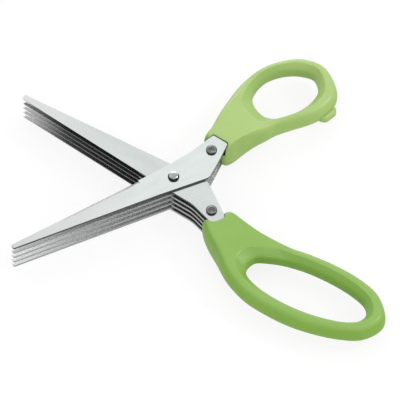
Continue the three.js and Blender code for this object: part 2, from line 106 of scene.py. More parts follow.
STOP_LENGTH = 9.4 * MM
STOP_DEPTH = 3.53 * MM
STOP_HEIGHT = 4.4 * MM
STOP_DROP = 2.4 * MM
STOP_ROUNDING = 1.6 * MM
STOP_ROUNDING_STEPS = 6
STOP_CORNER = 2.4 * MM
STOP_INSET = 3.6 * MM
STOP_SHARES = [(-0.46, -0.7), (-0.415, 0.5), (-0.15, 1.05), (0.47, 0.59), (0.58, 0.03), (0.5, -1.5)]

# Across a handle's rim, from the hole's wall to the crease: shares of the rim's width and of the height.
RIM_SHARES = [
    (0, 0), (0, 0.2), (0.01, 0.33), (0.06, 0.46), (0.2, 0.575),
    (0.5, 0.745), (0.8, 0.9), (0.95, 0.98), (1, 1),
]
FLAT_SHARES = (0.08, 0.35, 0.65, 0.92)

# How finely the curves are drawn, and the least sizes that count.
EDGE_STEPS = 6
STATION_STEPS = 6
RIM_SAMPLES = 12
HOLE_TANGENT_STEPS = 500
CORNER_STEPS = 12
ROUND_SIDES = 64
ARC_STEPS = 8
CORNER_PULL = 2 / 3
CUT_OVERRUN = 5 * MM
LEAST_SIDE = 0.02 * MM
MERGE_DISTANCE = MM / 10000
LEAST_MITRE_COSINE = 0.5
SHARP_ANGLE = math.radians(32)

# Each half's own sizes. A tang's corners are shares of its reach, its rise and TANG_CORNER, and "top_slot"
# is what the top slot is cut for. A web's points are shares of its length and of the loop's width, a hole's
# points shares of half its length and width, and a band's widths shares of LOOP_BAND, one for each of the
# hole's first points. A nick's corners are in millimetres. The greens are the plastic's own and a paler one.
# Both handles are one plastic: the thumb's greens are painted paler as a painted sheen, and the finger's are
# painted darker as painted shade.
thumb_side = {
    "name": "thumb",
    "letter": "a",
    "body": "thumb_half",
    "turn": THUMB_TURN,
    "across": 1,
    "handle": "thumb_handle",
    "tang_reach": 29.9 * MM,
    "tang_rise": 12 * MM,
    "top_tang": [
        (0.42, 0.7, 5), (0.875, 0.98, 0.18), (0.995, 0.396, 0.4), (0.686, -0.233, 4), (0.468, -0.633, 1.1),
    ],
    "top_slot": [
        (0.42, 0.7, 5), (0.875, 0.98, 0.18), (1.0, 0.385, 0.4), (0.736, -0.185, 4), (0.468, -0.633, 1.1),
    ],
    "lower_tang": [
        (0.42, 0.7, 5), (0.875, 0.98, 0.18), (0.985, 0.58, 0.4), (0.6, -0.19, 4), (0.42, -0.56, 1.1),
    ],
    "rivet_shares": (0.722, 0.408),
    "tang_seat": 7.4 * MM,
    "web_length": 29.6 * MM,
    "hole_length": 30.8 * MM,
    "hole_width": 23.1 * MM,
    "grip_offset": 4.8 * MM,
    "web": [
        (0.9, -0.008), (0.672, -0.002), (0.443, -0.023), (0.246, -0.064), (0.16, -0.066), (0.12, -0.042),
        (0.06, 0.126), (-0.018, 0.237), (-0.008, 0.272), (0.113, 0.336), (0.337, 0.498), (0.592, 0.667),
        (0.849, 0.821), (1.131, 0.933),
    ],
    "hole": [
        (-0.264, 0.95), (0.115, 0.95), (0.5, 0.786), (0.745, 0.584), (1.0, 0.21), (0.97, -0.24),
        (0.818, -0.62), (0.527, -0.88), (0.15, -1.04), (-0.275, -1.06), (-0.7, -0.95), (-0.97, -0.6),
        (-1.033, -0.01), (-0.925, 0.42), (-0.66, 0.735),
    ],
    "band": [1.0, 1.0, 1.17, 1.32, 1.35, 1.6, 1.9, 1.75, 1.3, 0.99, 1.22],
    "has_stop": True,
    "nick": [(28.2, 3.1), (25.4, 1.8), (21.5, 1.2), (20.5, 2.2), (26.6, 4.8)],
    # Paler than the finger's greens: a painted sheen on the one plastic of both handles.
    "greens": [(0.305, 0.45, 0.125, 1), (0.335, 0.48, 0.155, 1)],
}
finger_tang = [(0.47, 0.64, 5), (0.89, 1.0, 0.95), (1.0, 0.45, 0.6), (0.447, -0.64, 1)]
finger_side = {
    "name": "finger",
    "letter": "b",
    "body": "finger_half",
    "turn": FINGER_TURN,
    "across": -1,
    "handle": "finger_handle",
    "tang_reach": 30.9 * MM,
    "tang_rise": 10.8 * MM,
    "top_tang": finger_tang,
    "top_slot": finger_tang,
    "lower_tang": finger_tang,
    "rivet_shares": (0.767, 0.49),
    "tang_seat": 9.6 * MM,
    "web_length": 29.8 * MM,
    "hole_length": 58.1 * MM,
    "hole_width": 24 * MM,
    "grip_offset": -2.1 * MM,
    "web": [
        (0.973, 0.086), (0.769, 0.097), (0.566, 0.095), (0.398, 0.085), (0.316, 0.078), (0.252, 0.093),
        (0.16, 0.265), (0.052, 0.355), (0.044, 0.398), (0.08, 0.438), (0.218, 0.539), (0.485, 0.69),
        (0.765, 0.862), (0.988, 0.961),
    ],
    "hole": [
        (-0.668, 0.863), (-0.32, 0.948), (0.05, 0.909), (0.436, 0.739), (0.786, 0.452), (0.976, 0.121),
        (1.01, -0.24), (0.872, -0.684), (0.565, -0.873), (0.18, -0.914), (-0.246, -0.827), (-0.555, -0.637),
        (-0.779, -0.42), (-0.965, -0.137), (-1.0, 0.32), (-0.91, 0.64),
    ],
    "band": [1.63, 1.55, 1.51, 1.41, 1.34, 1.49, 1.89, 1.57, 1.53, 1.48, 1.42, 1.56],
    "has_stop": False,
    "nick": [],
    # Darker than the thumb's greens: painted shade on the one plastic of both handles.
    "greens": [(0.195, 0.36, 0.053, 1), (0.22, 0.385, 0.073, 1)],
}

# ---------------------------------------------------------------- the view and the light
VIEW_ELEVATION = math.radians(56)
VIEW_DISTANCE = 4000 * MM
VIEW_CENTRE = Vector((11.79, -8.62, 12.28)) * MM
VIEW_LENS = 806.4
VIEW_SENSOR = 36

# The room's light: by height from low to high, then the wall at the back, then the window over that.
FLOOR_SIZE = 12
FLOOR_COLOUR = (0.86, 0.86, 0.86, 1)
FLOOR_WHITENESS = 0.84
ROOM_LEVEL = 1
ROOM_DUSK = (-0.05, 0.35)
ROOM_LOW = (0.25, 0.25, 0.25, 1)
ROOM_HIGH = (0.8, 0.8, 0.8, 1)
BACK_WALL = (0.2, 0.7)
BACK_LIGHT = (1, 1, 1, 1)
WINDOW_DIRECTION = (0, 0.56, 0.83)
WINDOW_EDGES = (0.6, 0.9)
WINDOW_LIGHT = (1.18, 1.18, 1.18, 1)

# The lamps: name, place and width in metres, power in watts.
SOFTBOXES = [
    ("key_softbox", (-0.9, 0.2, 1.0), 1.3, 1.4),
    ("front_softbox", (0.3, -1.1, 0.8), 2.2, 6.5),
    ("small_softbox", (0.56, -0.07, 1.06), 0.16, 0.4),
    ("side_softbox", (0.95, 0.07, 0.88), 0.3, 3),
    ("back_softbox", (-0.05, 1.2, 0.4), 0.5, 2),
]

# ---------------------------------------------------------------- the finishes
# The noises: stretch along the piece, spots to the metre, detail and, where it isn't the usual, roughness.
BLADE_GRAIN = ((8, 1, 1), 5200, 3)
BLADE_PATCHES = ((3, 1, 1), 160, 3)
PLASTIC_FLOW = ((2, 1, 1), 90, 3)
PLASTIC_TEXTURE = ((1, 1, 1), 3600, 3, 0.6)
PLASTIC_SPECKS = ((1, 1, 1), 1500, 2)
CHROME_HAIRLINES = ((6, 1, 1), 4200, 2)
RIVET_PATCHES = ((1, 1, 1), 1400, 4)
STEEL_PATCHES = ((1, 1, 1), 900, 4)
STEEL_GRAIN = ((1, 1, 1), 5200, 2)

# Between which values of a noise the pattern goes from none to full.
NOISE_SPREAD = (0.3, 0.7)
PATCH_SPREAD = (0.35, 0.65)
SPECK_SPREAD = (0.55, 0.8)
HAIRLINE_SPREAD = (0.4, 0.7)

# Between which slopes, by one part of the surface's normal, one tone or shine goes over into another.
TOP_NORMALS = (0.9, 0.96)
UNDER_NORMALS = (-0.7, -0.3)
SHINE_NORMALS = (0.3, 0.85)
COAT_NORMALS = (0.5, 0.9)
DOME_FOOT_NORMALS = (0.76, 0.84)
DOME_BACK_NORMALS = (0.06, 0.42)

# The reliefs: strength and height.
BLADE_RELIEF = (0.12, 0.02 * MM)
PLASTIC_RELIEF = (0.1, 0.03 * MM)
CHROME_RELIEF = (0.05, 0.01 * MM)
STEEL_RELIEF = (0.15, 0.02 * MM)

# The plastic: how much of the paler green its flow and its specks bring in, and its shine from wall to top.
FLOW_SHARE = 0.6
SPECK_SHARE = 0.15
PLASTIC_SHINE = (0.08, 0.55)
PLASTIC_COAT = (0, 0.3)
PLASTIC_ROUGHNESS = (0.32, 0.46)
# The near black painted in the nick beside the tang, as painted shade.
NICK_PAINTED_SHADE = (0.012, 0.018, 0.006, 1)

# The metals' greys from 0 to 1, and how much less red and blue than green a cool one has.
LESS_RED = 0.055
LESS_BLUE = 0.015
CHROME_GREY = 0.36
CHROME_HAIRLINE_GREY = 0.28
CHROME_HAIRLINE_SHARE = 0.5
# The dome's painted shade round its foot and painted reflection at its back.
CHROME_FOOT_PAINTED_SHADE = 0.02
CHROME_BACK_PAINTED_REFLECTION = 0.97
CHROME_ROUGHNESS = (0.06, 0.14)
RIVET_GREY = 0.08
RIVET_PATCH_GREY = 0.16
# The slopes' painted highlight and the rim's painted shade.
RIVET_SLOPE_PAINTED_HIGHLIGHT = 0.4
RIVET_RIM_PAINTED_SHADE = 0.035
RIVET_ROUGHNESS = (0.22, 0.36)
SPACER_TONES = ((0.3, 0.31, 0.32, 1), (0.45, 0.46, 0.47, 1))
SPACER_ROUGHNESS = (0.3, 0.45)
NUT_TONES = ((0.5, 0.51, 0.52, 1), (0.62, 0.63, 0.64, 1))
NUT_ROUGHNESS = (0.22, 0.35)

# The blades: how strongly one grey goes over another, and where along them the cutting part meets the heel.
CUTTING_ENDS = (-12 * MM, -6 * MM)
GRAIN_SHARE = 0.35
TIP_SHARE = 0.85
# The grey the finger's lower plates are painted towards at the heel, as painted shade between the plates.
HEEL_SHADE_GREY = 0.15
SIDE_GRAIN_SHARE = 0.4
SIDE_GRAIN_GREY = 0.1
SIDE_ROUGHNESS = 0.15

# The blades' greys are those of the flat face, its patches and its grain, the ground edge, the underside, the
# tip, and the sheared side at the cutting edge and at the heel. "tip_ends" says where the tip's grey is full
# and where it is gone, "dulled" how far the face is painted darker at the heel as painted shade, "side_tilts"
# between which slopes a side becomes a face, "rough" the roughness without and with grain, and "cool" how cool
# the greys are. The top plates' near-black sides and darker undersides are painted shade, the thumb's lower
# plates are painted paler as painted light between the plates, and the finger's lower plates' pale tips are
# painted light.
STEEL_LOOKS = {
    "thumb_top_steel": {
        "metallic": 1, "cool": 1.2, "rough": (0.1, 0.2),
        "face": 0.66, "patch": 0.72, "grain": 0.6, "ground": 0.98, "under": 0.5, "heel_shade": 0,
        "tip": 0.57, "tip_ends": (-76 * MM, -5 * MM),
        "edge": 0.06, "side": 0.06, "side_tilts": (0.35, 0.75),
    },
    "thumb_lower_steel": {
        "metallic": 0.85, "cool": 0.3, "rough": (0.22, 0.32),
        "face": 0.82, "patch": 0.88, "grain": 0.75, "ground": 0.9, "under": 0.85, "heel_shade": 0,
        "tip": 0.85, "tip_ends": (-76 * MM, -38 * MM),
        "edge": 0.39, "side": 0.39, "side_tilts": (0.35, 0.75),
    },
    "finger_top_steel": {
        "metallic": 1, "cool": 1, "rough": (0.1, 0.2),
        "face": 0.59, "patch": 0.64, "grain": 0.53, "ground": 0.6, "under": 0.15, "heel_shade": 0,
        "tip": 0.64, "tip_ends": (-76 * MM, -38 * MM),
        "edge": 0.05, "side": 0.05, "side_tilts": (0.75, 0.93),
    },
    "finger_lower_steel": {
        "metallic": 0.94, "cool": 0, "rough": (0.12, 0.2),
        "face": 0.5, "patch": 0.56, "grain": 0.44, "ground": 0.5, "under": 0.55, "heel_shade": 0.6,
        "tip": 0.9, "tip_ends": (-77 * MM, -56 * MM),
        "edge": 0.2, "side": 0.45, "side_tilts": (0.75, 0.93),
    },
}


# ---------------------------------------------------------------- outlines
def level(node):
    """The lower and upper level of a CAD node."""
    low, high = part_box(node)
    return low.z, high.z


def laid_out(side, points, height):
    """Points drawn in a half's own frame, turned to where the half lies, at one height."""
    cosine, sine = math.cos(side["turn"]), math.sin(side["turn"])
    placed = []
    for point in points:
        x, y = point.x, point.y * side["across"]
        placed.append(Vector((x * cosine - y * sine, x * sine + y * cosine, height)))
    return placed


def rounded(corners):
    """A closed outline from corners of x, y and radius."""
    points = []
    count = len(corners)
    for i, (x, y, radius) in enumerate(corners):
        corner = Vector((x, y, 0))
        before = Vector((*corners[i - 1][:2], 0)) - corner
        after = Vector((*corners[(i + 1) % count][:2], 0)) - corner
        half_angle = before.angle(after) / 2
        room = min(before.length, after.length) / 2
        setback = min(radius / math.tan(half_angle), room)
        start = corner + before.normalized() * setback
        end = corner + after.normalized() * setback
        pull_in = start.lerp(corner, CORNER_PULL)
        pull_out = end.lerp(corner, CORNER_PULL)
        points += interpolate_bezier(start, pull_in, pull_out, end, CORNER_STEPS + 1)
    return [p for i, p in enumerate(points) if (p - points[(i + 1) % len(points)]).length > LEAST_SIDE]


def smooth_closed(points, steps):
    """Points on a smooth closed curve through the given ones, so many to each stretch."""
    curve = []
    count = len(points)
    for i in range(count):
        previous, here, there, beyond = (points[(i + k) % count] for k in (-1, 0, 1, 2))
        stretches = (here - previous, there - here, beyond - there)
        first, second, third = (stretch.length ** 0.5 for stretch in stretches)
        leave = (here - previous) / first - (there - previous) / (first + second) + (there - here) / second
        arrive = (there - here) / second - (beyond - here) / (second + third) + (beyond - there) / third
        pull_in = here + leave * second / 3
        pull_out = there - arrive * second / 3
        curve += interpolate_bezier(here, pull_in, pull_out, there, steps + 1)[:-1]
    return curve


def grown(points, distance):
    """An outline with every side moved outwards."""
    count = len(points)
    area = sum(points[i - 1].x * points[i].y - points[i].x * points[i - 1].y for i in range(count))
    sign = 1 if area > 0 else -1
    outline = []
    for i, point in enumerate(points):
        side_in = (point - points[i - 1]).normalized()
        side_out = (points[(i + 1) % count] - point).normalized()
        normal_in = Vector((side_in.y, -side_in.x, 0)) * sign
        normal_out = Vector((side_out.y, -side_out.x, 0)) * sign
        bisector = (normal_in + normal_out).normalized()
        stretch = 1 / max(bisector.dot(normal_out), LEAST_MITRE_COSINE)
        outline.append(point + bisector * distance * stretch)
    return outline


def circle(x, y, radius, height, sides=ROUND_SIDES):
    """Points on a level circle, anticlockwise from plus x."""
    turns = [math.tau * i / sides for i in range(sides)]
    return [Vector((x + radius * math.cos(turn), y + radius * math.sin(turn), height)) for turn in turns]


# ---------------------------------------------------------------- modelling
def select_only(piece):
    bpy.ops.object.select_all(action="DESELECT")
    piece.select_set(True)
    bpy.context.view_layer.objects.active = piece


def loft(name, rings, joined=False):
    """A skin drawn out of one ring through the next. It ends in two faces, or is joined up with its start."""
    bpy.ops.object.select_all(action="DESELECT")
    bpy.ops.mesh.primitive_circle_add(vertices=len(rings[0]), radius=MM, fill_type="NOTHING")
    piece = bpy.context.object
    piece.name = piece.data.name = name
    bpy.ops.object.mode_set(mode="EDIT")
    mesh = bmesh.from_edit_mesh(piece.data)
    place = mesh.verts.layers.int.new("place")
    for i, vertex in enumerate(mesh.verts):
        vertex[place] = i
        vertex.co = rings[0][i]
    if not joined:
        bpy.ops.mesh.edge_face_add()
    for ring in rings[1:] + rings[:1] * joined:
        bpy.ops.mesh.extrude_region_move()
        mesh = bmesh.from_edit_mesh(piece.data)
        place = mesh.verts.layers.int["place"]
        for vertex in mesh.verts:
            if vertex.select:
                vertex.co = ring[vertex[place]]
    bpy.ops.mesh.select_all(action="SELECT")
    bpy.ops.mesh.remove_doubles(threshold=MERGE_DISTANCE)
    bpy.ops.mesh.normals_make_consistent(inside=False)
    bpy.ops.object.mode_set(mode="OBJECT")
    piece.data.attributes.remove(piece.data.attributes["place"])
    piece.location = (0, 0, 0)
    return piece


def is_level(edge):
    """Whether both ends of an edge are at one height."""
    return edge.verts[0].co.z == edge.verts[1].co.z


def break_edges(piece, size, segments, along=lambda edge: True):
    """Rounds the edges between faces that meet sharply, where they pass the test."""
    select_only(piece)
    bpy.ops.object.mode_set(mode="EDIT")
    bpy.ops.mesh.select_mode(type="EDGE")
    bpy.ops.mesh.select_all(action="DESELECT")
    mesh = bmesh.from_edit_mesh(piece.data)
    for edge in mesh.edges:
        if len(edge.link_faces) == 2 and edge.calc_face_angle() > SHARP_ANGLE and along(edge):
            edge.select = True
    bmesh.update_edit_mesh(piece.data)
    bpy.ops.mesh.bevel(offset=size, segments=segments, affect="EDGES", clamp_overlap=True)
    bpy.ops.object.mode_set(mode="OBJECT")


def use_up(piece, other, operation):
    """Joins another object to a piece, or cuts it out of it, and does away with it."""
    select_only(piece)
    work = piece.modifiers.new(operation, "BOOLEAN")
    work.operation = operation
    work.object = other
    work.solver = "EXACT"
    bpy.ops.object.modifier_apply(modifier=work.name)
    bpy.data.objects.remove(other)


def smooth(piece):
    """Shades a piece smooth, apart from its sharp edges."""
    select_only(piece)
    bpy.ops.object.shade_smooth_by_angle(angle=SHARP_ANGLE)


def keep_faces_flat(piece):
    """Lets the large faces hold their own shading, so that only the broken edges between them turn."""
    smooth(piece)
    work = piece.modifiers.new("flat_faces", "WEIGHTED_NORMAL")
    work.keep_sharp = True
    bpy.ops.object.modifier_apply(modifier=work.name)


def finish_piece(piece, side_body, slot, material, *nodes):
    """Gives a piece its finish and its body, and lets it stand for its CAD nodes."""
    piece.data.materials.clear()
    piece.data.materials.append(material)
    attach(piece, side_body)
    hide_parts(*nodes)


# ---------------------------------------------------------------- blades
def plate_outline(side, shares):
    """A plate's outline, from the tip along the cutting edge, round the tang and back along the spine."""
    tang = [
        (along * side["tang_reach"], across * side["tang_rise"], rounding * TANG_CORNER)
        for along, across, rounding in shares
    ]
    return rounded([
        (-BLADE_REACH, TIP_CUT_OFFSET, TIP_RADIUS),
        (-HEEL_CUT_PLACE, HEEL_CUT_OFFSET, HEEL_RADIUS),
        *tang,
        (-HEEL_SPINE_PLACE, -HEEL_SPINE_OFFSET, HEEL_RADIUS),
        (-BLADE_REACH, -TIP_SPINE_OFFSET, TIP_RADIUS),
    ])


def rivet_place(side):
    """Where the half's rivet stands, at height 0."""
    along, across = side["rivet_shares"]
    return laid_out(side, [Vector((along * side["tang_reach"], across * side["tang_rise"], 0))], 0)[0]


def grindstone(side, foot, top):
    """The wedge that grinding takes off a cutting edge: above on a thumb blade, below on a finger blade."""
    rise = (HEEL_CUT_OFFSET - TIP_CUT_OFFSET) / (BLADE_REACH - HEEL_CUT_PLACE)
    start = Vector((-BLADE_REACH - CUT_OVERRUN, TIP_CUT_OFFSET - rise * CUT_OVERRUN, 0))
    end = Vector((-GRIND_HEEL, TIP_CUT_OFFSET + rise * (BLADE_REACH - GRIND_HEEL), 0))
    along = (end - start).normalized()
    outward = Vector((-along.y, along.x, 0))
    drop = (top - foot - GRIND_EDGE) / GRIND_WIDTH
    face, away = (top, 1) if side["across"] > 0 else (foot, -1)
    reach = GRIND_WIDTH + CUT_OVERRUN
    section = [
        (-GRIND_WIDTH, 0),
        (CUT_OVERRUN, -reach * drop),
        (CUT_OVERRUN, CUT_OVERRUN),
        (-GRIND_WIDTH, CUT_OVERRUN),
    ]
    rings = []
    for place in (start, end):
        corners = []
        for out, up in section:
            corners += laid_out(side, [place + outward * out], face + up * away)
        rings.append(corners)
    return loft("grindstone", rings)


def make_blade(side, pair, foot, top):
    """One plate between two heights, with broken edges, a ground cutting edge and its two bores."""
    name = f"{side['letter']}_plate_{pair + 1}"
    outline = plate_outline(side, side["lower_tang"] if pair else side["top_tang"])
    blade = loft(name, [laid_out(side, outline, foot), laid_out(side, outline, top)])
    break_edges(blade, PLATE_BREAK, PLATE_BREAK_STEPS, is_level)
    use_up(blade, grindstone(side, foot, top), "DIFFERENCE")
    low, high = foot - CUT_OVERRUN, top + CUT_OVERRUN
    rivet = rivet_place(side)
    bores = ((0, 0, PIVOT_SHANK_RADIUS), (rivet.x, rivet.y, RIVET_SHANK_RADIUS))
    for x, y, radius in bores:
        bore = loft("bore", [circle(x, y, radius + BORE_CLEARANCE, z) for z in (low, high)])
        use_up(blade, bore, "DIFFERENCE")
    return blade


def add_blades(side):
    """The five plates of a half. The top one's steel is a copy of its own, with its own painted light and
    shade.
    """
    rows = ("top", "lower")
    top_steel, lower_steel = (blade_steel(f"{side['name']}_{row}_steel", side["turn"]) for row in rows)
    for pair in range(PAIR_COUNT):
        node = f"blade_{side['letter']}{pair + 1}"
        blade = make_blade(side, pair, *level(node))
        keep_faces_flat(blade)
        finish_piece(blade, side["body"], "blade_steel", lower_steel if pair else top_steel, node)


# ---------------------------------------------------------------- handles
def handle_front(side):
    """How far from the pivot a handle begins."""
    return side["tang_reach"] - side["tang_seat"]


def hole_centre(side):
    """The middle of the hole in a handle's loop."""
    return Vector((
        handle_front(side) + side["web_length"] + side["hole_length"] / 2,
        side["grip_offset"] + LOOP_BAND + side["hole_width"] / 2,
        0,
    ))


def hole_points(side):
    """The points that the hole's outline runs through."""
    centre = hole_centre(side)
    half = Vector((side["hole_length"], side["hole_width"], 0)) / 2
    return [centre + Vector((along * half.x, across * half.y, 0)) for along, across in side["hole"]]


def outer_points(side):
    """The outer outline: round the hole at the width of the band, then along the web to its front."""
    hole = hole_points(side)
    near = smooth_closed(hole, HOLE_TANGENT_STEPS)
    band = []
    for i, share in enumerate(side["band"]):
        place = i * HOLE_TANGENT_STEPS
        tangent = (near[place + 1] - near[place - 1]).normalized()
        band.append(hole[i] + Vector((-tangent.y, tangent.x, 0)) * share * LOOP_BAND)
    width = side["hole_width"] + 2 * LOOP_BAND
    web = [
        Vector((handle_front(side) + along * side["web_length"], side["grip_offset"] + across * width, 0))
        for along, across in side["web"]
    ]
    return band + web


def faded(value, start, end):
    """A share that goes softly from 0 to 1 between two values."""
    share = min(max((value - start) / (end - start), 0), 1)
    return share * share * (3 - 2 * share)


def between(first, second, share):
    """The value that lies this share of the way from the first to the second."""
    return first + (second - first) * share


def handle_profile(width, squareness):
    """A section's upper half from the outer edge to the hole: how far in, and the share of the height."""
    edge_width = min(SIDE_EDGE, width * EDGE_LARGEST_SHARE)
    rim_width = min(RIM_EDGE, width * RIM_LARGEST_SHARE)
    profile = []
    for step in range(EDGE_STEPS + 1):
        turn = math.pi / 2 * step / EDGE_STEPS
        inset = 1 - math.cos(turn) ** (2 / squareness)
        profile.append((edge_width * inset, math.sin(turn) ** (2 / squareness)))
    profile += [(between(edge_width, width - rim_width, share), 1) for share in FLAT_SHARES]
    profile += [(width - rim_width * across, rise) for across, rise in reversed(RIM_SHARES)]
    return profile


def handle_rings(side):
    """The rings of a handle's skin, from the middle of the outer edge over the top to the hole and back."""
    low, high = level(side["handle"])
    middle, web_half = (low + high) / 2, (high - low) / 2
    front, length = handle_front(side), side["web_length"]
    thinning = [front + share * length for share in THINNING_SHARES]
    centre = hole_centre(side)
    rim = smooth_closed(hole_points(side), RIM_SAMPLES)
    rim_angles = [math.atan2(p.y - centre.y, p.x - centre.x) for p in rim]
    sections = []
    for edge in smooth_closed(outer_points(side), STATION_STEPS):
        angle = math.atan2(edge.y - centre.y, edge.x - centre.x)
        inner = Vector([np.interp(angle, rim_angles, [p[k] for p in rim], period=math.tau) for k in range(3)])
        width = (inner - edge).length
        top = handle_profile(width, between(FRONT_SQUARENESS, LOOP_SQUARENESS, faded(edge.x, *thinning)))
        section = []
        for across, rise in top + [(across, -rise) for across, rise in reversed(top[1:-1])]:
            point = edge.lerp(inner, across / width)
            half = between(web_half, LOOP_HEIGHT / 2, faded(point.x, *thinning))
            section.append(laid_out(side, [point], middle + rise * half)[0])
        sections.append(section)
    return [list(ring) for ring in zip(*sections)]


def nick_outline(side, height):
    """The outline of the nick beside the top tang, or nothing where there is none."""
    return laid_out(side, [Vector((x, y, 0)) * MM for x, y in side["nick"]], height)


def handle_cuts(side):
    """What is cut out of a handle: slots for the tangs, the outer two open, room for the rivet, the nick."""
    cuts = []
    for pair in range(PAIR_COUNT):
        outline = grown(plate_outline(side, side["lower_tang"] if pair else side["top_slot"]), TANG_SLOT_GAP)
        foot, top = level(f"blade_{side['letter']}{pair + 1}")
        above = CUT_OVERRUN if pair == 0 else SLOT_HEIGHT_GAP
        below = CUT_OVERRUN if pair == PAIR_COUNT - 1 else SLOT_HEIGHT_GAP
        cuts.append(loft("slot", [laid_out(side, outline, z) for z in (foot - below, top + above)]))
    rivet = rivet_place(side)
    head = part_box(f"tang_rivet_{side['letter']}")
    radius = (head[1].x - head[0].x) / 2 + RIVET_RELIEF
    low, high = level(side["handle"])
    heights = (low - CUT_OVERRUN, high + CUT_OVERRUN)
    cuts.append(loft("relief", [circle(rivet.x, rivet.y, radius, z) for z in heights]))
    if side["nick"]:
        cuts.append(loft("nick", [nick_outline(side, z) for z in (high - NICK_DEPTH, high + CUT_OVERRUN)]))
    return cuts


def mark_nick(handle, side):
    """Marks the faces inside the nick, where the plastic is painted near black as painted shade. The nick's
    corners go clockwise.
    """
    corners = nick_outline(side, 0)
    foot = level(side["handle"])[1] - NICK_DEPTH - NICK_FOOT_MARGIN
    shade = handle.data.attributes.new("shade", "FLOAT", "FACE")
    for face in handle.data.polygons:
        inside = bool(corners) and face.center.z > foot
        points = [handle.data.vertices[i].co for i in face.vertices]
        for before, corner in zip(corners[-1:] + corners, corners):
            along = (corner - before).normalized()
            inside = inside and all(along.cross(point - before).z < NICK_MARGIN for point in points)
        shade.data[face.index].value = inside


def stop_bump(side):
    """The thumb handle's stop, a rounded block whose inner part lies inside the loop's band."""
    place = handle_front(side) + side["web_length"] + side["hole_length"] - STOP_INSET
    outline = rounded([
        (place + along * STOP_LENGTH, side["grip_offset"] - deep * STOP_DEPTH, STOP_CORNER)
        for along, deep in STOP_SHARES
    ])
    low, high = level(side["handle"])
    middle = (low + high) / 2
    levels = (middle - STOP_DROP - STOP_HEIGHT / 2, middle - STOP_DROP + STOP_HEIGHT / 2)
    bump = loft("bump", [laid_out(side, outline, z) for z in levels])
    break_edges(bump, STOP_ROUNDING, STOP_ROUNDING_STEPS, is_level)
    return bump


def add_handle(side):
    """A handle: loop and web in one skin, the stop on it, and what the tangs and the rivet need cut out."""
    handle = loft(f"{side['letter']}_grip", handle_rings(side), joined=True)
    smoothing = handle.modifiers.new("smoothing", "SUBSURF")
    smoothing.levels = smoothing.render_levels = 1
    bpy.ops.object.modifier_apply(modifier=smoothing.name)
    if side["has_stop"]:
        use_up(handle, stop_bump(side), "UNION")
    for cut in handle_cuts(side):
        use_up(handle, cut, "DIFFERENCE")
    mark_nick(handle, side)
    smooth(handle)
    plastic = handle_plastic(f"{side['name']}_green", *side["greens"])
    finish_piece(handle, side["body"], "handle_green", plastic, side["handle"])


# ---------------------------------------------------------------- fasteners
def turned(name, profile, x=0, y=0, joined=False):
    """A turned piece from radii and heights, ending in two flat faces, or joined up as a ring."""
    return loft(name, [circle(x, y, radius, height) for radius, height in profile], joined)


def quarter(radius, height, inwards, upwards):
    """A quarter round of a profile, from the outside going inwards by one size and upwards by the other."""
    arc = []
    for step in range(ARC_STEPS + 1):
        turn = math.pi / 2 * step / ARC_STEPS
        arc.append((radius - inwards * (1 - math.cos(turn)), height + upwards * math.sin(turn)))
    return arc


def add_pivot_screw(chrome):
    """The screw, whose domed head is seated as high as the rivets' heads."""
    low, high = level("pivot_screw")
    seat = level("tang_rivet_a")[1] - RIVET_HEAD_HEIGHT
    head_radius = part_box("pivot_screw")[1].x
    dome_foot = seat + PIVOT_HEAD_RIM
    dome = quarter(head_radius, dome_foot, head_radius, high - dome_foot)[:-1]
    profile = [(PIVOT_SHANK_RADIUS, low), (PIVOT_SHANK_RADIUS, seat), (head_radius, seat), *dome]
    screw = turned("domed_pivot", profile)
    smooth(screw)
    finish_piece(screw, "thumb_half", "pivot_chrome", chrome, "pivot_screw")


def add_pivot_nut(steel):
    """A hexagonal nut with a closed foot, its corners to the front and the back."""
    low, high = level("pivot_nut")
    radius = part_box("pivot_nut")[1].y
    hexagon = circle(0, 0, radius, 0, NUT_SIDES)
    turned_hexagon = [Vector((-p.y, p.x, 0)) for p in hexagon]
    nut = loft("blind_nut", [[p + Vector((0, 0, z)) for p in turned_hexagon] for z in (low, high)])
    break_edges(nut, NUT_BREAK, NUT_BREAK_STEPS)
    levels = (low + NUT_FLOOR, high + CUT_OVERRUN)
    bore = loft("bore", [circle(0, 0, PIVOT_SHANK_RADIUS + BORE_CLEARANCE, z) for z in levels])
    use_up(nut, bore, "DIFFERENCE")
    keep_faces_flat(nut)
    finish_piece(nut, "thumb_half", "nut_steel", steel, "pivot_nut")


def add_rings(steel):
    """The washers on the pivot and the spacers on the rivets."""
    kinds = [
        ("thumb_half", "pivot_washer_{}", "pivot_ring_{}", PIVOT_SHANK_RADIUS),
        ("thumb_half", "tang_spacer_a{}", "a_ring_{}", RIVET_SHANK_RADIUS),
        ("finger_half", "tang_spacer_b{}", "b_ring_{}", RIVET_SHANK_RADIUS),
    ]
    for body, node_name, piece_name, shank in kinds:
        for place in range(1, PAIR_COUNT):
            node = node_name.format(place)
            low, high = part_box(node)
            middle = (low + high) / 2
            outer, bore = (high.x - low.x) / 2, shank + BORE_CLEARANCE
            profile = [
                (bore, low.z), (outer - WASHER_BREAK, low.z), (outer, low.z + WASHER_BREAK),
                (outer, high.z - WASHER_BREAK), (outer - WASHER_BREAK, high.z), (bore, high.z),
            ]
            washer = turned(piece_name.format(place), profile, middle.x, middle.y, joined=True)
            smooth(washer)
            finish_piece(washer, body, "spacer_steel", steel, node)


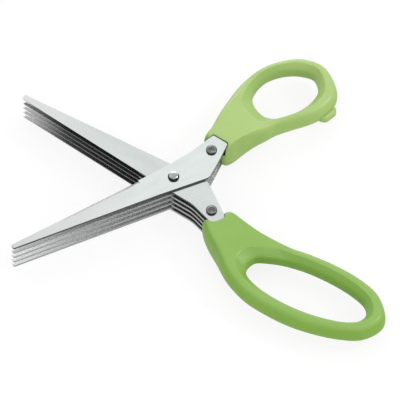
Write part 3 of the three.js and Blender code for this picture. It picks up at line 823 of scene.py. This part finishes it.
def add_rivet(side, dark_steel):
    """A rivet with a rolled head: a rounded edge, a groove round the middle, and a cup in it."""
    node = f"tang_rivet_{side['letter']}"
    low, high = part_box(node)
    radius = (high.x - low.x) / 2
    place = rivet_place(side)
    seat, tail = high.z - RIVET_HEAD_HEIGHT, low.z + RIVET_TAIL_HEIGHT
    lower_edge = quarter(radius, low.z, RIVET_EDGE, RIVET_EDGE)
    foot = [(r, 2 * low.z + RIVET_EDGE - z) for r, z in reversed(lower_edge)]
    edge = quarter(radius, high.z - RIVET_EDGE, RIVET_EDGE, RIVET_EDGE)
    groove = [(RIVET_RING_RADIUS + RIVET_RING_DEPTH, high.z), (RIVET_RING_RADIUS, high.z - RIVET_RING_DEPTH)]
    cup = [
        (RIVET_CUP_RADIUS + RIVET_RING_DEPTH, high.z - RIVET_RING_DEPTH / 2),
        (RIVET_CUP_RADIUS, high.z - RIVET_RING_DEPTH / 2),
        (RIVET_CUP_RADIUS / 2, high.z - RIVET_CUP_DEPTH),
    ]
    profile = [*foot, (radius, tail), (RIVET_SHANK_RADIUS, tail), (RIVET_SHANK_RADIUS, seat), (radius, seat)]
    rivet = turned(f"{side['letter']}_rivet", [*profile, *edge, *groove, *cup], place.x, place.y)
    smooth(rivet)
    # Marks the points inside the rim; the rim outside them is painted near black as painted shade.
    within_rim = rivet.data.attributes.new("within_rim", "FLOAT", "POINT")
    for vertex in rivet.data.vertices:
        reach = (vertex.co - Vector((place.x, place.y, vertex.co.z))).length
        within_rim.data[vertex.index].value = reach < radius - RIVET_EDGE / 2
    finish_piece(rivet, side["body"], "rivet_dark", dark_steel, node)


# ---------------------------------------------------------------- materials
# A Mix node's sockets for colours, which have the same names as its other ones.
MIX_INPUTS = (0, 6, 7)
MIX_OUTPUT = 2


def new_material(name, **sockets):
    """A material, its tree and its shader with these values on its sockets, an underscore being a space."""
    material = bpy.data.materials.new(name)
    material.use_nodes = True
    shader = material.node_tree.nodes["Principled BSDF"]
    for socket, value in sockets.items():
        shader.inputs[socket.replace("_", " ")].default_value = value
    return material, material.node_tree, shader


def fill(tree, socket, value):
    """Gives a socket its value, or links it to another node's output."""
    if isinstance(value, bpy.types.NodeSocket):
        tree.links.new(value, socket)
    else:
        socket.default_value = value


def add_node(tree, kind, settings=(), **sockets):
    """A node with its settings and its filled sockets."""
    node = tree.nodes.new("ShaderNode" + kind)
    for setting, value in dict(settings).items():
        setattr(node, setting, value)
    for socket, value in sockets.items():
        fill(tree, node.inputs[socket.replace("_", " ")], value)
    return node


def computed(tree, operation, *values):
    """What a sum, a product or the like makes of the values."""
    node = add_node(tree, "Math", {"operation": operation})
    for socket, value in zip(node.inputs, values):
        fill(tree, socket, value)
    return node.outputs[0]


def directed(tree, coordinates):
    """The x, y and z of one of the texture coordinates."""
    return add_node(tree, "SeparateXYZ", Vector=add_node(tree, "TexCoord").outputs[coordinates]).outputs


def object_pattern(tree, turn, stretch=(1, 1, 1)):
    """The place on the piece, with x turned to run along it and stretched."""
    place = add_node(tree, "TexCoord").outputs["Object"]
    mapping = add_node(tree, "Mapping", {"vector_type": "TEXTURE"}, Vector=place)
    mapping.inputs["Rotation"].default_value = (0, 0, turn)
    mapping.inputs["Scale"].default_value = stretch
    return mapping.outputs["Vector"]


def noise(tree, stretch, scale, detail, roughness=0.5, turn=0):
    """A noise on the piece, stretched along a direction that is turned from x."""
    place = object_pattern(tree, turn, stretch)
    node = add_node(tree, "TexNoise", Vector=place, Scale=scale, Detail=detail, Roughness=roughness)
    return node.outputs["Fac"]


def ranged(tree, value, low, high, new_low, new_high):
    """A value moved from one range to another and held inside it."""
    node = add_node(tree, "MapRange", Value=value)
    for socket, number in (("From Min", low), ("From Max", high), ("To Min", new_low), ("To Max", new_high)):
        node.inputs[socket].default_value = number
    return node.outputs["Result"]


def mixed(tree, factor, first, second):
    """Two colours mixed by a factor."""
    node = add_node(tree, "Mix", {"data_type": "RGBA", "blend_type": "MIX", "clamp_factor": True})
    for socket, value in zip(MIX_INPUTS, (factor, first, second)):
        fill(tree, node.inputs[socket], value)
    return node.outputs[MIX_OUTPUT]


def bumped(tree, shader, height, strength, distance):
    """Gives a shader the relief of a pattern."""
    bump = add_node(tree, "Bump", Strength=strength, Distance=distance, Height=height)
    fill(tree, shader.inputs["Normal"], bump.outputs["Normal"])


def steel_tone(value, cool=1):
    """The grey of stainless steel, slightly cool or neutral."""
    return (value * (1 - LESS_RED * cool), value, value * (1 - LESS_BLUE * cool), 1)


def blade_steel(name, turn):
    """Steel with its grain along the blade. Ground edges differ in tone. The undersides and sheared sides, and
    on the finger's lower plates the heel and the tip, are painted darker and paler as painted shade and
    painted light.
    """
    look = STEEL_LOOKS[name]
    material, tree, shader = new_material(name, Metallic=look["metallic"], Anisotropic=0.3)

    def tone_of(key):
        return steel_tone(look[key], look["cool"])

    grain = noise(tree, *BLADE_GRAIN, turn=turn)
    patches = noise(tree, *BLADE_PATCHES, turn=turn)
    along = add_node(tree, "SeparateXYZ", Vector=object_pattern(tree, turn)).outputs["X"]
    facing = directed(tree, "Normal")["Z"]
    upright = ranged(tree, computed(tree, "ABSOLUTE", facing), *look["side_tilts"], 1, 0)
    tone = mixed(tree, ranged(tree, patches, *PATCH_SPREAD, 0, 1), tone_of("face"), tone_of("patch"))
    tone = mixed(tree, ranged(tree, grain, *NOISE_SPREAD, 0, GRAIN_SHARE), tone, tone_of("grain"))
    tone = mixed(tree, ranged(tree, facing, *TOP_NORMALS, 1, 0), tone, tone_of("ground"))
    # Painted shade towards the heel, then painted light at the tip.
    tone = mixed(tree, ranged(tree, along, *CUTTING_ENDS, look["heel_shade"], 0), tone, steel_tone(HEEL_SHADE_GREY))
    tone = mixed(tree, ranged(tree, along, *look["tip_ends"], TIP_SHARE, 0), tone, steel_tone(look["tip"], 0))
    # Painted shade on the undersides.
    tone = mixed(tree, ranged(tree, facing, *UNDER_NORMALS, 1, 0), tone, tone_of("under"))
    # The sheared sides, painted dark as painted shade.
    side = mixed(tree, ranged(tree, along, *CUTTING_ENDS, 0, 1), tone_of("edge"), tone_of("side"))
    side_grain = ranged(tree, grain, *NOISE_SPREAD, 0, SIDE_GRAIN_SHARE)
    side = mixed(tree, side_grain, side, steel_tone(SIDE_GRAIN_GREY))
    fill(tree, shader.inputs["Base Color"], mixed(tree, upright, tone, side))
    face_roughness = ranged(tree, grain, *NOISE_SPREAD, *look["rough"])
    side_roughness = ranged(tree, upright, 0, 1, 0, SIDE_ROUGHNESS)
    fill(tree, shader.inputs["Roughness"], computed(tree, "ADD", face_roughness, side_roughness))
    bumped(tree, shader, grain, *BLADE_RELIEF)
    return material


def handle_plastic(name, colour, pale):
    """Moulded satin plastic with a fine spark-eroded texture. Its walls are duller than its polished top.
    Inside the nick it is painted near black as painted shade.
    """
    material, tree, shader = new_material(name, IOR=1.49, Coat_Roughness=0.3)
    flow = noise(tree, *PLASTIC_FLOW)
    texture = noise(tree, *PLASTIC_TEXTURE)
    specks = noise(tree, *PLASTIC_SPECKS)
    base = mixed(tree, ranged(tree, flow, *NOISE_SPREAD, 0, FLOW_SHARE), colour, pale)
    base = mixed(tree, ranged(tree, specks, *SPECK_SPREAD, 0, SPECK_SHARE), base, pale)
    # The faces marked in the nick are painted near black as painted shade.
    shade = add_node(tree, "Attribute", {"attribute_name": "shade"}).outputs["Fac"]
    fill(tree, shader.inputs["Base Color"], mixed(tree, shade, base, NICK_PAINTED_SHADE))
    facing = directed(tree, "Normal")["Z"]
    fill(tree, shader.inputs["Specular IOR Level"], ranged(tree, facing, *SHINE_NORMALS, *PLASTIC_SHINE))
    fill(tree, shader.inputs["Coat Weight"], ranged(tree, facing, *COAT_NORMALS, *PLASTIC_COAT))
    fill(tree, shader.inputs["Roughness"], ranged(tree, texture, *NOISE_SPREAD, *PLASTIC_ROUGHNESS))
    bumped(tree, shader, texture, *PLASTIC_RELIEF)
    return material


def bright_chrome():
    """Polished chrome with a few fine hairlines, painted near white at the back as a painted reflection and
    near black round the foot of the dome as painted shade.
    """
    material, tree, shader = new_material("pivot_chrome", Metallic=1.0)
    hairlines = noise(tree, *CHROME_HAIRLINES)
    scratched = ranged(tree, hairlines, *HAIRLINE_SPREAD, 0, CHROME_HAIRLINE_SHARE)
    facing = directed(tree, "Normal")
    at_foot = ranged(tree, facing["Z"], *DOME_FOOT_NORMALS, 1, 0)
    at_back = ranged(tree, facing["Y"], *DOME_BACK_NORMALS, 0, 1)
    tone = mixed(tree, scratched, steel_tone(CHROME_GREY), steel_tone(CHROME_HAIRLINE_GREY))
    # Painted shade round the dome's foot, then a painted reflection at its back.
    tone = mixed(tree, at_foot, tone, steel_tone(CHROME_FOOT_PAINTED_SHADE))
    tone = mixed(tree, at_back, tone, steel_tone(CHROME_BACK_PAINTED_REFLECTION))
    fill(tree, shader.inputs["Base Color"], tone)
    fill(tree, shader.inputs["Roughness"], ranged(tree, hairlines, *HAIRLINE_SPREAD, *CHROME_ROUGHNESS))
    bumped(tree, shader, hairlines, *CHROME_RELIEF)
    return material


def add_grain(tree, shader, roughness):
    """The fine grain of turned steel, in its roughness and in its relief."""
    grain = noise(tree, *STEEL_GRAIN)
    fill(tree, shader.inputs["Roughness"], ranged(tree, grain, *NOISE_SPREAD, *roughness))
    bumped(tree, shader, grain, *STEEL_RELIEF)


def rivet_steel():
    """Blackened steel in patches, with its rim painted near black as painted shade and the slopes inside the
    rolled head painted lighter as a painted highlight.
    """
    material, tree, shader = new_material("rivet_dark", Metallic=1.0)
    patches = ranged(tree, noise(tree, *RIVET_PATCHES), *NOISE_SPREAD, 0, 1)
    facing = directed(tree, "Normal")["Z"]
    within_rim = add_node(tree, "Attribute", {"attribute_name": "within_rim"}).outputs["Fac"]
    tone = mixed(tree, patches, steel_tone(RIVET_GREY), steel_tone(RIVET_PATCH_GREY))
    # The slopes are painted lighter as a painted highlight, the rim near black as painted shade.
    tone = mixed(tree, ranged(tree, facing, *TOP_NORMALS, 1, 0), tone, steel_tone(RIVET_SLOPE_PAINTED_HIGHLIGHT))
    fill(tree, shader.inputs["Base Color"], mixed(tree, within_rim, steel_tone(RIVET_RIM_PAINTED_SHADE), tone))
    add_grain(tree, shader, RIVET_ROUGHNESS)
    return material


def plain_steel(name, tones, roughness):
    """Turned steel: a tone that varies in small patches, with a fine grain."""
    material, tree, shader = new_material(name, Metallic=1.0)
    patches = ranged(tree, noise(tree, *STEEL_PATCHES), *NOISE_SPREAD, 0, 1)
    fill(tree, shader.inputs["Base Color"], mixed(tree, patches, *tones))
    add_grain(tree, shader, roughness)
    return material


# ---------------------------------------------------------------- the stage
def lay_floor():
    """A pale floor that the camera and the metal see nearly white, with the object's shadow on it."""
    bpy.ops.object.select_all(action="DESELECT")
    bpy.ops.mesh.primitive_plane_add(size=FLOOR_SIZE, location=(0, 0, 0))
    floor = bpy.context.object
    floor.name = "table"
    material, tree, shader = new_material(
        "pale_table", Base_Color=FLOOR_COLOUR, Roughness=0.9, Specular_IOR_Level=0.0)
    rays = add_node(tree, "LightPath").outputs
    seen = computed(tree, "MAXIMUM", rays["Is Camera Ray"], rays["Is Glossy Ray"])
    white = add_node(tree, "Emission", Strength=1.0)
    blend = add_node(tree, "MixShader", Fac=computed(tree, "MULTIPLY", seen, FLOOR_WHITENESS))
    fill(tree, blend.inputs[1], shader.outputs[0])
    fill(tree, blend.inputs[2], white.outputs[0])
    fill(tree, tree.nodes["Material Output"].inputs["Surface"], blend.outputs[0])
    floor.data.materials.append(material)


def light_room():
    """A soft room: dim near the horizon, white at the back, brightest where the flat tops mirror it."""
    world = bpy.data.worlds.new("studio")
    bpy.context.scene.world = world
    world.use_nodes = True
    tree = world.node_tree
    direction = directed(tree, "Generated")
    room = mixed(tree, ranged(tree, direction["Z"], *ROOM_DUSK, 0, 1), ROOM_LOW, ROOM_HIGH)
    room = mixed(tree, ranged(tree, direction["Y"], *BACK_WALL, 0, 1), room, BACK_LIGHT)
    facing = add_node(tree, "VectorMath", {"operation": "DOT_PRODUCT"})
    fill(tree, facing.inputs[0], add_node(tree, "TexCoord").outputs["Generated"])
    fill(tree, facing.inputs[1], WINDOW_DIRECTION)
    sky = mixed(tree, ranged(tree, facing.outputs["Value"], *WINDOW_EDGES, 0, 1), room, WINDOW_LIGHT)
    background = tree.nodes["Background"]
    fill(tree, background.inputs["Color"], sky)
    fill(tree, background.inputs["Strength"], ROOM_LEVEL)


def add_softbox(name, place, size, power):
    """A round lamp that points at the object."""
    bpy.ops.object.light_add(type="AREA", location=place)
    lamp = bpy.context.object
    lamp.name = name
    lamp.data.shape = "DISK"
    lamp.data.size = size
    lamp.data.energy = power
    lamp.rotation_euler = (VIEW_CENTRE - Vector(place)).to_track_quat("-Z", "Y").to_euler()


def aim_camera():
    """The photograph's view, from high above the near edge of the table with a long lens."""
    away = Vector((0, -math.cos(VIEW_ELEVATION), math.sin(VIEW_ELEVATION)))
    tilt = math.pi / 2 - VIEW_ELEVATION
    bpy.ops.object.camera_add(location=VIEW_CENTRE + away * VIEW_DISTANCE, rotation=(tilt, 0, 0))
    camera = bpy.context.object
    camera.data.lens = VIEW_LENS
    camera.data.sensor_width = VIEW_SENSOR
    bpy.context.scene.camera = camera


aim_camera()
light_room()
for softbox in SOFTBOXES:
    add_softbox(*softbox)
lay_floor()

sides = (thumb_side, finger_side)
for side in sides:
    add_blades(side)
for side in sides:
    add_handle(side)
add_pivot_screw(bright_chrome())
add_pivot_nut(plain_steel("nut_steel", NUT_TONES, NUT_ROUGHNESS))
add_rings(plain_steel("spacer_steel", SPACER_TONES, SPACER_ROUGHNESS))
dark_steel = rivet_steel()
for side in sides:
    add_rivet(side, dark_steel)

bpy.context.scene.view_settings.view_transform = "Standard"
